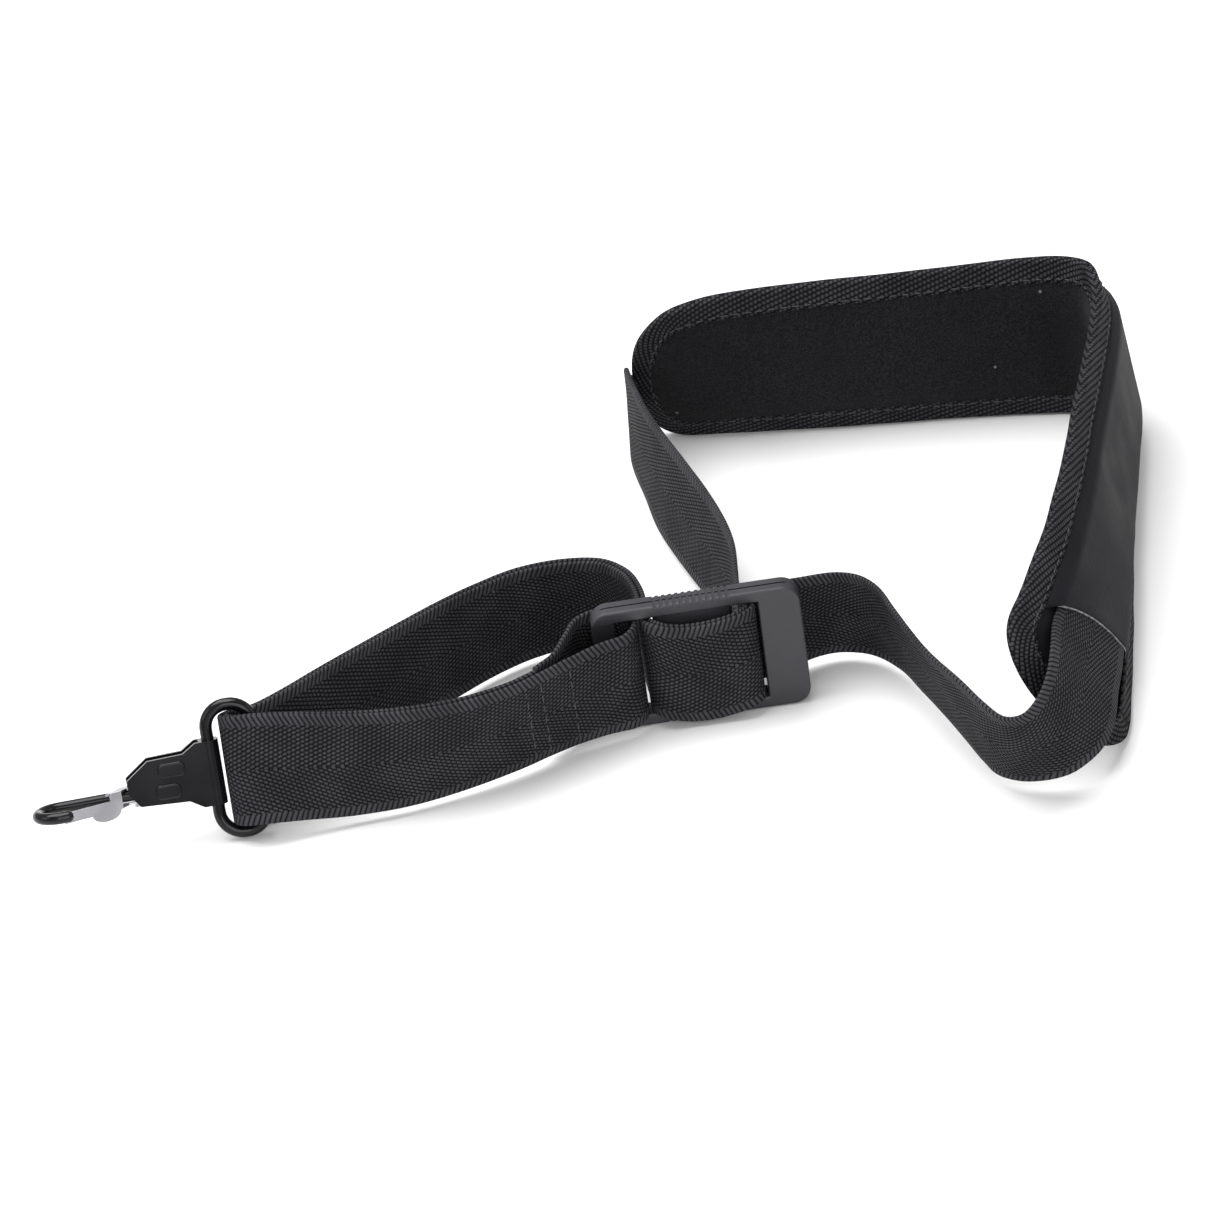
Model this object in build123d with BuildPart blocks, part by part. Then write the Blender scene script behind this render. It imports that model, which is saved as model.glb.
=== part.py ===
from build123d import *
import os
from math import cos, radians, sin, tan

# Saxophone neck strap standing on its edges on a table, as it is set down after use.
# Millimetres, +Z up.  The hook points towards -X, the padded neck piece is at +X.
# Webs stand on edge, so their width runs up and their faces look sideways.

# ---- driving dimensions ------------------------------------------------------------
WEB_WIDTH = 24.6
WEB_THICK = 1.1
LAYER_PITCH = 1.35          # middle of one web layer to the middle of the next
PAD_WIDTH = 42.0
PAD_LINING = 1.3
PAD_FOAM = 3.4
PAD_COVER = 1.1
PAD_GAP = 0.15              # air left between the sewn layers

RING_WIRE = 2.8
RING_WIDTH = 10.4           # between the middles of the two straight bars
RING_HEIGHT = 28.6
RING_CORNER = 5.0
RING_LEAN = 20.0            # degrees that the ring and hook lean back from upright

HOOK_WIRE = 2.6
HOOK_GAP = 9.5              # shank middle to tip middle
HOOK_STRAIGHT = 34.0        # bar axis to the start of the bend
HOOK_TIP = 2.6              # length of the straight tip after the bend
HOOK_DROP = -2.0            # height of the hook wire beside the middle of its body
SHEET = 0.8                 # body sheet
BARREL_CLEARANCE = 0.05
BARREL_HEIGHT = 14.4
BODY_LENGTH = 18.8
PIVOT_OUT = 17.0            # bar axis to the gate pin
PIN_RADIUS = 0.5

SLIDER_LENGTH = 46.2
SLIDER_HEIGHT = 30.4
SLIDER_THICK = 5.0
SLIDER_RAIL = 2.8
SLIDER_CORNER = 4.0
EDGE_ROUND = 0.5
END_BAR = 9.4               # plain bar at the neck end
LEFT_BAR = 5.0              # bar that the sewn tail loops round
BAR_WIDTH = 17.6            # floating bar in the middle
BAR_THICK = 3.0
GRIP_PITCH = 1.45
GRIP_COUNT = 12
GRIP_DEPTH = 0.5

# ---- places ------------------------------------------------------------------------
# The routes below are in plan about the middle of the picture of the strap; this
# offset puts the origin under the middle of the whole object.
SHIFT_X = -1.1
SHIFT_Y = 11.9

RING_BAR_X = -80.5          # bar inside the folded web
RING_BAR_Y = -64.0
RING_MID_Z = 15.0
SLIDER_LEFT_X = -5.2
SLIDER_FRONT_Y = -49.0
FLOAT_BAR_X = 8.4           # near edge of the floating bar


def place(x, y, z=0.0):
    return Vector(x + SHIFT_X, y + SHIFT_Y, z)


# ---- webs and pad as strips along a route --------------------------------------------
# A station is x, y and z of the middle of the strip, then how far its upper edge leans
# towards +X and towards +Y, in degrees.

def section_planes(route, side=0.0):
    """Planes across a strip; their X is across its thickness and their Y up its width."""
    middles = [place(*station[:3]) for station in route]
    planes = []
    for number, station in enumerate(route):
        before = middles[max(number - 1, 0)]
        after = middles[min(number + 1, len(route) - 1)]
        up = Vector(tan(radians(station[3])), tan(radians(station[4])), 1).normalized()
        left = up.cross(after - before).normalized()
        planes.append(Plane(middles[number] + left * side, x_dir=left, z_dir=left.cross(up)))
    return planes


def layer(route, widths, thick, side=0.0):
    """One layer lofted through its stations, with a width for each of them."""
    with BuildPart() as lofted:
        for plane, width in zip(section_planes(route, side), widths):
            with BuildSketch(plane):
                Rectangle(thick, width)
        loft(ruled=True)
    return lofted


def web(route, side=0.0):
    """One run of webbing of even width."""
    return layer(route, [WEB_WIDTH] * len(route), WEB_THICK, side)


def pad_edge(route, widths, thick, reach, end):
    """Tape folded over one long edge of the pad; end is 1 for the upper edge, -1 for the lower."""
    with BuildPart() as tape:
        for plane, width in zip(section_planes(route), widths):
            with BuildSketch(plane):
                with Locations((0, end * (width + reach) / 2)):
                    Rectangle(thick, reach)
        loft(ruled=True)
    return tape


PAD_ROUTE = [
    (13.6, 74.7, 19.5, 0, -20),
    (17.8, 73.0, 19.5, 0, -19),
    (24.0, 71.5, 20.4, 0, -16),
    (33.0, 70.3, 21.4, 0, -11),
    (45.0, 69.3, 21.4, 0, -8),
    (58.0, 67.8, 21.4, 0, -6),
    (71.0, 66.3, 21.3, 0, -5),
    (85.0, 64.7, 21.3, 0, -4),
    (98.0, 63.4, 21.2, 0, -2),
    (109.0, 61.8, 21.2, 0, 0),
    (118.0, 59.5, 21.2, -2, 1),
    (124.0, 54.5, 21.3, -4, 2),
    (126.0, 46.5, 21.4, -7, 1),
    (124.9, 35.0, 21.4, -8, 0),
    (121.6, 20.0, 21.4, -9, 0),
    (117.9, 4.0, 21.4, -11, 0),
    (114.1, -12.0, 21.4, -13, 0),
    (110.6, -28.0, 21.4, -15, 0),
    (107.0, -43.0, 21.3, -18, 0),
    (103.4, -57.0, 21.1, -21, 0),
    (99.8, -69.0, 20.8, -25, 0),
    (96.2, -79.5, 19.6, -29, 0),
    (92.5, -86.9, 18.4, -32, 0),
    (88.9, -92.2, 17.4, -32, 0),
]
FAR_WEB_GATHER = [0.55, 0.62, 0.75, 0.92]  # width of the web where the pad's end holds it
NEAR_MOUTH = -4             # the cover stops this many stations short of the near end
PAD_ENDS = [0.34, 0.72, 0.95]


def pad_widths(full):
    count = len(PAD_ROUTE) - 2 * len(PAD_ENDS)
    return [full * part for part in PAD_ENDS + [1.0] * count + PAD_ENDS[::-1]]


EDGE = 2.0                  # height of the tape's turned edge above the layers
INNER_WIDTH = PAD_WIDTH - 2 * EDGE
LAYERS = PAD_LINING + PAD_FOAM + WEB_THICK + PAD_COVER + 3 * PAD_GAP
LINING_SIDE = -LAYERS / 2 + PAD_LINING / 2
FOAM_SIDE = LINING_SIDE + (PAD_LINING + PAD_FOAM) / 2 + PAD_GAP
WEB_SIDE = FOAM_SIDE + (PAD_FOAM + WEB_THICK) / 2 + PAD_GAP
COVER_SIDE = WEB_SIDE + (WEB_THICK + PAD_COVER) / 2 + PAD_GAP

# web from the pad's far end to the back of the slider
LEFT_ROUTE = [
    (13.8, 77.2, 13.4, 0, -20),
    (12.5, 76.6, 13.2, 0, -14),
    (11.6, 74.4, 13.1, 1, -8),
    (11.3, 70.0, 13.2, 2, -3),
    (11.3, 64.0, 13.8, 4, 0),
    (12.0, 55.5, 14.2, 6, 0),
    (13.5, 45.0, 14.2, 7, 0),
    (15.8, 32.0, 14.1, 10, 0),
    (18.9, 19.0, 14.1, 12, 0),
    (22.2, 6.0, 14.2, 13, 0),
    (25.2, -7.0, 14.6, 10, 0),
    (27.3, -20.0, 15.0, 6, 0),
    (28.0, -32.0, 15.2, 2, 0),
    (27.85, -43.3, 15.2, 0, 0),
]



def left_widths():
    gathered = [WEB_WIDTH * part for part in FAR_WEB_GATHER]
    return gathered + [WEB_WIDTH] * (len(LEFT_ROUTE) - len(gathered))


# web from the slider round to the mouth of the pad's cover
RIGHT_ROUTE = [
    (29.2, -43.3, 15.2, 0, 0),
    (29.7, -41.9, 15.2, 0, 0),
    (31.6, -41.0, 15.2, 0, 0),
    (36.5, -40.2, 15.0, 0, -3),
    (42.2, -37.6, 14.5, 0, -9),
    (49.0, -36.6, 14.2, 0, -11),
    (55.0, -39.2, 14.2, -5, -10),
    (59.6, -45.7, 14.2, -10, -6),
    (62.8, -56.0, 14.1, -13, -3),
    (65.8, -66.5, 14.1, -14, -2),
    (68.9, -77.0, 14.1, -14, -2),
    (72.4, -87.0, 14.1, -11, -7),
    (75.6, -94.8, 13.9, -9, -15),
    (80.2, -100.0, 14.0, -14, -20),
    (86.2, -101.2, 15.0, -23, -18),
    (91.4, -98.0, 16.8, -29, -14),
    (94.8, -93.0, 18.6, -31, -9),
    (96.9, -86.6, 20.0, -30, -3),
    (97.7, -80.5, 20.4, -29, 0),
]

# the two layers from the slider's back, round the ring and along the front
LOWER_ROUTE = [
    (7.35, -41.5, 15.2, 0, 0),
    (6.6, -33.5, 14.8, 0, -1),
    (4.4, -25.0, 14.5, 0, -3),
    (-1.2, -18.3, 14.4, 2, -5),
    (-10.0, -15.6, 14.3, 2, -6),
    (-19.5, -17.0, 14.3, 0, -4),
    (-28.8, -21.3, 14.2, 0, -2),
    (-38.0, -27.2, 14.1, 0, 2),
    (-47.5, -34.3, 14.0, 0, 6),
    (-57.0, -41.8, 13.9, 0, 10),
    (-66.0, -49.0, 13.8, 0, 14),
    (-74.0, -55.2, 13.6, 0, 17),
    (-80.5, -59.1, 13.3, 0, 20),
    (-86.0, -61.5, 14.1, 0, 20),
    (-87.5, -64.8, 15.3, 0, 20),
    (-85.4, -67.8, 16.4, 0, 20),
    (-80.0, -68.8, 16.7, 0, 19),
    (-72.5, -68.6, 15.8, 0, 15),
    (-62.0, -69.0, 14.7, 0, 8),
    (-49.5, -69.5, 14.4, 0, 0),
    (-36.6, -67.9, 14.4, 0, -7),
    (-24.5, -64.2, 14.6, 0, -10),
]

# the sewn tail: along the seam, over the slider's bar, behind it and back to the seam
TAIL_ROUTE = [
    (-24.0, -64.0, 14.6, 0, -10),
    (-18.0, -61.0, 14.7, 0, -10),
    (-11.3, -57.6, 14.8, 0, -8),
    (-4.0, -54.8, 15.0, 0, -4),
    (1.8, -53.0, 14.9, 0, -1),
    (4.4, -49.8, 15.1, 0, 0),
    (4.4, -45.6, 15.2, 0, 0),
    (1.8, -42.6, 15.2, 0, 0),
    (-3.6, -41.6, 15.2, 0, 0),
    (-8.2, -43.6, 15.1, 0, -1),
    (-11.0, -48.4, 15.0, 0, -4),
    (-14.2, -54.2, 14.8, 0, -8),
    (-18.6, -58.4, 14.7, 0, -10),
]

# the two layers that pass from the back, over the floating bar, to the back again
BAR_ROUTE = [
    (29.1, -43.8, 15.2, 0, 0),
    (29.8, -46.2, 15.2, 0, 0),
    (30.3, -49.2, 15.2, 0, 0),
    (27.9, -51.7, 15.1, 0, 0),
    (21.5, -51.9, 13.7, 0, 0),
    (14.0, -51.8, 13.6, 0, 0),
    (8.9, -51.6, 15.1, 0, 0),
    (6.3, -48.6, 15.1, 0, 0),
    (6.0, -45.0, 15.2, 0, 0),
    (6.0, -41.8, 15.2, 0, 0),
]


# ---- hook, gate and ring -----------------------------------------------------------
HOOK_YAW = 8.0              # degrees that the hook is swung towards the front
LEAN_UP = Vector(0, sin(radians(RING_LEAN)), cos(radians(RING_LEAN)))
LEAN_FRONT = Vector(0, -cos(radians(RING_LEAN)), sin(radians(RING_LEAN)))
BAR_IN_WEB = place(RING_BAR_X, RING_BAR_Y, RING_MID_Z)
BAR_IN_HOOK = BAR_IN_WEB - Vector(RING_WIDTH, 0, 0)
HOOK_OUT = Vector(-1, 0, 0) * cos(radians(HOOK_YAW)) + LEAN_FRONT * sin(radians(HOOK_YAW))
RING_PLANE = Plane(BAR_IN_WEB - Vector(RING_WIDTH / 2, 0, 0), x_dir=(1, 0, 0), z_dir=LEAN_FRONT)
# in the hook's own plane X runs out along the hook, Y to the front and Z up the hinge bar
HOOK_PLANE = Plane(BAR_IN_HOOK, x_dir=HOOK_OUT, z_dir=LEAN_UP)


def make_ring():
    """Closed wire loop with two straight bars and rounded ends."""
    half_width, half_height = RING_WIDTH / 2, RING_HEIGHT / 2
    with BuildPart() as ring:
        with BuildLine(RING_PLANE) as half:
            FilletPolyline(
                (0, half_height), (half_width, half_height),
                (half_width, -half_height), (0, -half_height), radius=RING_CORNER,
            )
        with BuildSketch(Plane(half.line @ 0, z_dir=half.line % 0)):
            Circle(RING_WIRE / 2)
        sweep(path=half.line)
        mirror(about=Plane(RING_PLANE.origin, x_dir=LEAN_UP, z_dir=RING_PLANE.x_dir))
    return ring


LEAF_GAP = HOOK_WIRE / 2 + 0.05
LEAF_MIDDLE = LEAF_GAP + SHEET / 2
BARREL_INNER = RING_WIRE / 2 + BARREL_CLEARANCE
BARREL_OUTER = BARREL_INNER + SHEET
LEAF_OUTER = LEAF_GAP + SHEET
CRIMP_RISE = 0.7
CRIMP_ROUND = 0.45
CRIMPS = ((10.2, 2.2, 5.4, 3.4), (8.9, -2.4, 6.0, 3.4))  # along, up, length and height of each


def make_hook_body():
    """Sheet folded round the ring's bar into a barrel, with two leaves that hold the hook."""
    with BuildPart() as body:
        with BuildSketch(HOOK_PLANE.offset(-BARREL_HEIGHT / 2)):
            Circle(BARREL_OUTER)
            for face in (1, -1):
                with Locations((BODY_LENGTH / 2, face * LEAF_MIDDLE)):
                    Rectangle(BODY_LENGTH, SHEET)
            Circle(BARREL_INNER, mode=Mode.SUBTRACT)
        extrude(amount=BARREL_HEIGHT)
        front = Plane(BAR_IN_HOOK, x_dir=HOOK_OUT, z_dir=HOOK_PLANE.y_dir)
        with BuildSketch(front.offset(-BARREL_OUTER)):
            with BuildLine():
                Polyline(
                    (BODY_LENGTH, 1.5), (BODY_LENGTH, -1.5), (BODY_LENGTH - 5.0, -5.1), (6.0, -5.3),
                    (3.0, -BARREL_HEIGHT / 2), (-3.0, -BARREL_HEIGHT / 2), (-3.0, BARREL_HEIGHT / 2),
                    (3.0, BARREL_HEIGHT / 2), (6.0, 5.3), (BODY_LENGTH - 2.2, 4.6), close=True,
                )
            make_face()
        extrude(amount=2 * BARREL_OUTER, mode=Mode.INTERSECT)
        for along, rise, wide, tall in CRIMPS:
            with BuildSketch(front.offset(LEAF_OUTER - 0.1)):
                with Locations((along, rise)):
                    RectangleRounded(wide, tall, tall / 3)
            extrude(amount=CRIMP_RISE + 0.1)
        raised = body.faces().sort_by(Axis(BAR_IN_HOOK, HOOK_PLANE.y_dir))[-len(CRIMPS):]
        fillet(raised.edges(), CRIMP_ROUND)
    return body


def hook_height(rise=0.0):
    return HOOK_PLANE.offset(HOOK_DROP + rise)


def make_hook_wire():
    """Shank, half-round bend and short returning tip, with a cross hole for the gate pin."""
    with BuildPart() as wire:
        with BuildLine(hook_height()) as route:
            shank = Line((5.0, 0), (HOOK_STRAIGHT, 0))
            bend = TangentArc(shank @ 1, (HOOK_STRAIGHT, HOOK_GAP), tangent=shank % 1)
            Line(bend @ 1, (HOOK_STRAIGHT - HOOK_TIP, HOOK_GAP))
        with BuildSketch(Plane(route.line @ 0, z_dir=route.line % 0)):
            Circle(HOOK_WIRE / 2)
        sweep(path=route.line)
        tip = wire.faces().filter_by(GeomType.PLANE).sort_by(Axis(BAR_IN_HOOK, HOOK_PLANE.y_dir))[-1]
        fillet(tip.edges(), HOOK_WIRE / 2 - 0.2)
        with BuildSketch(hook_height(-HOOK_WIRE)):
            with Locations((PIVOT_OUT, 0)):
                Circle(PIN_RADIUS)
        extrude(amount=2 * HOOK_WIRE, mode=Mode.SUBTRACT)
    return wire


GATE_SHEET = 0.5
GATE_EAR_IN = HOOK_WIRE / 2 + 0.15
GATE_HALF = GATE_EAR_IN + GATE_SHEET
GATE_END = 33.2
GATE_EAR_RADIUS = 1.15
GATE_TOP = 0.3              # upper edge of the closing strip, from the middle of the wire
TAB_REACH = 1.9             # how far the thumb tab stands below the gate
GATE_ROOT = (PIVOT_OUT + 3.6, 2.9)
GATE_CLOSED = (GATE_END, HOOK_GAP - HOOK_WIRE / 2 - 0.65)
GATE_BRIDGE = (GATE_ROOT[0] + 2.2, GATE_ROOT[1] + 0.72)


def make_gate():
    """Channel that straddles the shank at its pin and closes against the inside of the tip."""
    with BuildPart() as gate:
        for ear in (GATE_EAR_IN, -GATE_HALF):
            with BuildSketch(hook_height(ear)):
                with BuildLine():
                    Polyline(
                        (PIVOT_OUT, -GATE_EAR_RADIUS), (PIVOT_OUT + 3.4, -0.4),
                        (PIVOT_OUT + 6.9, 3.9), GATE_ROOT, (PIVOT_OUT + 2.0, GATE_EAR_RADIUS),
                        (PIVOT_OUT, GATE_EAR_RADIUS), close=True,
                    )
                make_face()
                with Locations((PIVOT_OUT, 0)):
                    Circle(GATE_EAR_RADIUS)
                    Circle(PIN_RADIUS + BARREL_CLEARANCE, mode=Mode.SUBTRACT)
            extrude(amount=GATE_SHEET)
        for far_end, top in ((GATE_CLOSED, GATE_TOP), (GATE_BRIDGE, GATE_HALF)):
            with BuildSketch(hook_height(-GATE_HALF)):
                with BuildLine():
                    spine = Line(GATE_ROOT, far_end)
                    offset(spine, GATE_SHEET / 2, side=Side.BOTH)
                make_face()
            extrude(amount=GATE_HALF + top)
        slope = Plane(
            hook_height().from_local_coords(Vector(*GATE_ROOT, 0)),
            x_dir=hook_height().from_local_coords(Vector(*GATE_CLOSED, 0))
            - hook_height().from_local_coords(Vector(*GATE_ROOT, 0)),
            z_dir=LEAN_UP,
        )
        lower = Plane(slope.origin, x_dir=slope.x_dir, z_dir=slope.y_dir)
        with BuildSketch(lower.offset(-GATE_SHEET / 2)):
            with Locations((3.8, GATE_HALF)):
                Ellipse(3.4, TAB_REACH)
        extrude(amount=GATE_SHEET)
    return gate


def make_gate_pin():
    with BuildPart() as pin:
        with BuildSketch(hook_height(-GATE_HALF - 0.3)):
            with Locations((PIVOT_OUT, 0)):
                Circle(PIN_RADIUS)
        extrude(amount=2 * GATE_HALF + 2.2)
        with BuildSketch(hook_height(-GATE_HALF - 0.8)):
            with Locations((PIVOT_OUT, 0)):
                Circle(0.9)
        extrude(amount=0.5)
    return pin


SPRING_WIRE = 0.25
SPRING_RADIUS = 0.95
SPRING_TURNS_HEIGHT = 1.2


def make_gate_spring():
    """Torsion coil round the pin above the upper ear."""
    with BuildPart() as spring:
        base = hook_height(GATE_HALF + 0.3)
        base.origin = base.from_local_coords(Vector(PIVOT_OUT, 0, 0))
        with BuildLine(base):
            coil = Helix(pitch=0.4, height=SPRING_TURNS_HEIGHT, radius=SPRING_RADIUS)
        with BuildSketch(Plane(coil @ 0, z_dir=coil % 0)):
            Circle(SPRING_WIRE / 2)
        sweep(path=coil, is_frenet=True)
    return spring


# ---- slider ------------------------------------------------------------------------
SLIDER_MIDDLE = place(
    SLIDER_LEFT_X + SLIDER_LENGTH / 2, SLIDER_FRONT_Y + SLIDER_THICK, SLIDER_HEIGHT / 2
)
SLIDER_BACK = Plane(SLIDER_MIDDLE, x_dir=(1, 0, 0), z_dir=(0, -1, 0))
WINDOW_LENGTH = SLIDER_LENGTH - END_BAR - LEFT_BAR
WINDOW_MIDDLE = (LEFT_BAR - END_BAR) / 2
WINDOW_HEIGHT = SLIDER_HEIGHT - 2 * SLIDER_RAIL
FLOAT_BAR_MIDDLE = FLOAT_BAR_X + BAR_WIDTH / 2 - SLIDER_LEFT_X - SLIDER_LENGTH / 2
GUIDE_DEPTH = 1.2
GUIDE_WIDTH = 2.2
GUIDE_PLAY = 2.5            # room for the floating bar's tongue at each end of its guide
LEFT_BAR_THICK = 3.2


def make_slider_frame():
    """Moulded frame with one window, finger grips on both rails and guides for the bar."""
    with BuildPart() as frame:
        with BuildSketch(SLIDER_BACK):
            RectangleRounded(SLIDER_LENGTH, SLIDER_HEIGHT, SLIDER_CORNER)
            with Locations((WINDOW_MIDDLE, 0)):
                Rectangle(WINDOW_LENGTH, WINDOW_HEIGHT, mode=Mode.SUBTRACT)
        extrude(amount=SLIDER_THICK)
        fillet(frame.faces().sort_by(Axis.Y)[0].edges(), EDGE_ROUND)
        fillet(frame.faces().sort_by(Axis.Y)[-1].outer_wire().edges(), EDGE_ROUND)
        with BuildSketch(SLIDER_BACK.offset(LEFT_BAR_THICK)):
            with Locations(((LEFT_BAR - SLIDER_LENGTH) / 2, 0)):
                Rectangle(LEFT_BAR, WINDOW_HEIGHT)
        extrude(amount=SLIDER_THICK, mode=Mode.SUBTRACT)
        with BuildSketch(SLIDER_BACK.offset((SLIDER_THICK - GUIDE_WIDTH) / 2)):
            with Locations((FLOAT_BAR_MIDDLE, 0)):
                Rectangle(BAR_WIDTH + 2 * GUIDE_PLAY, WINDOW_HEIGHT + 2 * GUIDE_DEPTH)
        extrude(amount=GUIDE_WIDTH, mode=Mode.SUBTRACT)
        with BuildSketch(SLIDER_BACK.offset(SLIDER_THICK * 0.45)):
            for end in (1, -1):
                with Locations((0, end * SLIDER_HEIGHT / 2)):
                    Rectangle(SLIDER_LENGTH, 0.8)
        extrude(amount=0.5, mode=Mode.SUBTRACT)
        with BuildSketch(SLIDER_BACK):
            for end in (1, -1):
                with Locations((FLOAT_BAR_MIDDLE, end * SLIDER_HEIGHT / 2)):
                    with GridLocations(GRIP_PITCH, 0, GRIP_COUNT, 1):
                        Rectangle(GRIP_PITCH / 2, 2 * GRIP_DEPTH)
        extrude(amount=SLIDER_THICK, mode=Mode.SUBTRACT)
    return frame


def make_slider_bar():
    """Loose bar that the webs pass over; its tongues run in the frame's guides."""
    start = (SLIDER_THICK - BAR_THICK) / 2
    tongue = GUIDE_WIDTH - 0.3
    with BuildPart() as bar:
        with BuildSketch(SLIDER_BACK.offset(start)):
            with Locations((FLOAT_BAR_MIDDLE, 0)):
                Rectangle(BAR_WIDTH, WINDOW_HEIGHT - 0.3)
        extrude(amount=BAR_THICK)
        long_edges = bar.edges().filter_by(Axis.Z)
        fillet(long_edges, BAR_THICK / 2 - 0.1)
        with BuildSketch(SLIDER_BACK.offset((SLIDER_THICK - tongue) / 2)):
            with Locations((FLOAT_BAR_MIDDLE, 0)):
                Rectangle(BAR_WIDTH - 2 * BAR_THICK, WINDOW_HEIGHT + 2 * GUIDE_DEPTH - 0.4)
        extrude(amount=tongue)
    return bar


# ---- stitching ---------------------------------------------------------------------
STITCH_LENGTH = 2.2
STITCH_PITCH = 3.1
STITCH_WIDTH = 0.5
SEAM_STATIONS = (1, 2)
SEAM_STITCHES = 7


def make_seam_stitches():
    """Two rows of thread across the web where the tail is sewn down."""
    planes = section_planes(TAIL_ROUTE, -WEB_THICK / 2 - 0.05)
    with BuildPart() as thread:
        for number in SEAM_STATIONS:
            section = planes[number]
            face = Plane(section.origin, x_dir=section.y_dir, z_dir=-section.x_dir)
            with BuildSketch(face):
                with GridLocations(STITCH_PITCH, 0, SEAM_STITCHES, 1):
                    SlotOverall(STITCH_LENGTH, STITCH_WIDTH)
            extrude(amount=0.25)
    return thread


# ---- build and write every piece ---------------------------------------------------
COVER_ROUTE = PAD_ROUTE[:NEAR_MOUTH + 1]
IN_PAD_ROUTE = PAD_ROUTE[1:NEAR_MOUTH + 2]

pieces = {
    "pad_lining": layer(PAD_ROUTE, pad_widths(INNER_WIDTH), PAD_LINING, LINING_SIDE),
    "pad_foam": layer(PAD_ROUTE, pad_widths(INNER_WIDTH), PAD_FOAM, FOAM_SIDE),
    "pad_cover": layer(COVER_ROUTE, pad_widths(INNER_WIDTH), PAD_COVER, COVER_SIDE),
    "pad_binding_upper": pad_edge(PAD_ROUTE, pad_widths(INNER_WIDTH + 0.1), LAYERS, EDGE, 1),
    "pad_binding_lower": pad_edge(PAD_ROUTE, pad_widths(INNER_WIDTH + 0.1), LAYERS, EDGE, -1),
    "web_in_pad": web(IN_PAD_ROUTE, WEB_SIDE),
    "web_left": layer(LEFT_ROUTE, left_widths(), WEB_THICK),
    "web_right": web(RIGHT_ROUTE),
    "lower_web_outer": web(LOWER_ROUTE),
    "lower_web_inner": web(LOWER_ROUTE, LAYER_PITCH),
    "tail_web": web(TAIL_ROUTE),
    "bar_web_outer": web(BAR_ROUTE),
    "bar_web_inner": web(BAR_ROUTE, -LAYER_PITCH),
    "seam_stitches": make_seam_stitches(),
    "slider_frame": make_slider_frame(),
    "slider_bar": make_slider_bar(),
    "ring": make_ring(),
    "hook_body": make_hook_body(),
    "hook_wire": make_hook_wire(),
    "gate": make_gate(),
    "gate_pin": make_gate_pin(),
    "gate_spring": make_gate_spring(),
}

os.makedirs("parts", exist_ok=True)
for node, built in pieces.items():
    built.part.label = node
    export_step(built.part, f"parts/{node}.step")
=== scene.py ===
import math

import bpy
import numpy as np
from bpy.props import FloatProperty, FloatVectorProperty, IntProperty, PointerProperty
from mathutils import Matrix, Vector


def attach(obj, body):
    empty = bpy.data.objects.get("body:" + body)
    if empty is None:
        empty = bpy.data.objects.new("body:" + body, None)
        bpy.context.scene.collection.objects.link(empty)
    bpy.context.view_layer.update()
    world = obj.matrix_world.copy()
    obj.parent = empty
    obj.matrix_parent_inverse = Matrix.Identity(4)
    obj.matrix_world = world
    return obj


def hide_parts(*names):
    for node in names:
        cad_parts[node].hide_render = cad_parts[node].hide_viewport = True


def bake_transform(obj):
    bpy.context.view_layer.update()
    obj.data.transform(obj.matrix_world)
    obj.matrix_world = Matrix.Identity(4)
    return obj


bl_info = {
    "name": "Saxophone neck strap",
    "version": (1, 0, 0),
    "blender": (4, 5, 0),
    "location": "View3D > Sidebar > Neck strap",
    "description": "Builds the webbing, padded neck piece, slider and snap hook of a neck strap",
    "category": "Add Mesh",
}

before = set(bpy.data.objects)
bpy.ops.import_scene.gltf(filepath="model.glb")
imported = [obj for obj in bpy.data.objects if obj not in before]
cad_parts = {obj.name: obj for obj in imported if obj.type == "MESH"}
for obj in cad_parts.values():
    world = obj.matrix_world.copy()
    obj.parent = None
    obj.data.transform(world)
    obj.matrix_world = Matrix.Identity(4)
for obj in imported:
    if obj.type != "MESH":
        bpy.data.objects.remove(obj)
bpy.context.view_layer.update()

MM = 0.001
LAY = "lay"     # every woven piece carries this: millimetres along it, across it and through it

# Where the middle of the routes below lies in the model's frame, in millimetres.
MIDDLE_X = -1.1
MIDDLE_Y = 11.9

# A station is x, y and z of the middle of a strip, then how far its upper edge leans
# towards +X and towards +Y, in degrees. All routes are in millimetres.
PAD_ROUTE = (
    (13.6, 74.7, 19.5, 0, -20),
    (17.8, 73.0, 19.5, 0, -19),
    (24.0, 71.5, 20.4, 0, -16),
    (33.0, 70.3, 21.4, 0, -11),
    (45.0, 69.3, 21.4, 0, -8),
    (58.0, 67.8, 21.4, 0, -6),
    (71.0, 66.3, 21.3, 0, -5),
    (85.0, 64.7, 21.3, 0, -4),
    (98.0, 63.4, 21.2, 0, -2),
    (109.0, 61.8, 21.2, 0, 0),
    (118.0, 59.5, 21.2, -2, 1),
    (124.0, 54.5, 21.3, -4, 2),
    (126.0, 46.5, 21.4, -7, 1),
    (124.9, 35.0, 21.4, -8, 0),
    (121.6, 20.0, 21.4, -9, 0),
    (117.9, 4.0, 21.4, -11, 0),
    (114.1, -12.0, 21.4, -13, 0),
    (110.6, -28.0, 21.4, -15, 0),
    (107.0, -43.0, 21.3, -18, 0),
    (103.4, -57.0, 21.1, -21, 0),
    (99.8, -69.0, 20.8, -25, 0),
    (96.2, -79.5, 19.6, -29, 0),
    (92.5, -86.9, 18.4, -32, 0),
    (88.9, -92.2, 17.4, -32, 0),
)
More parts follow.
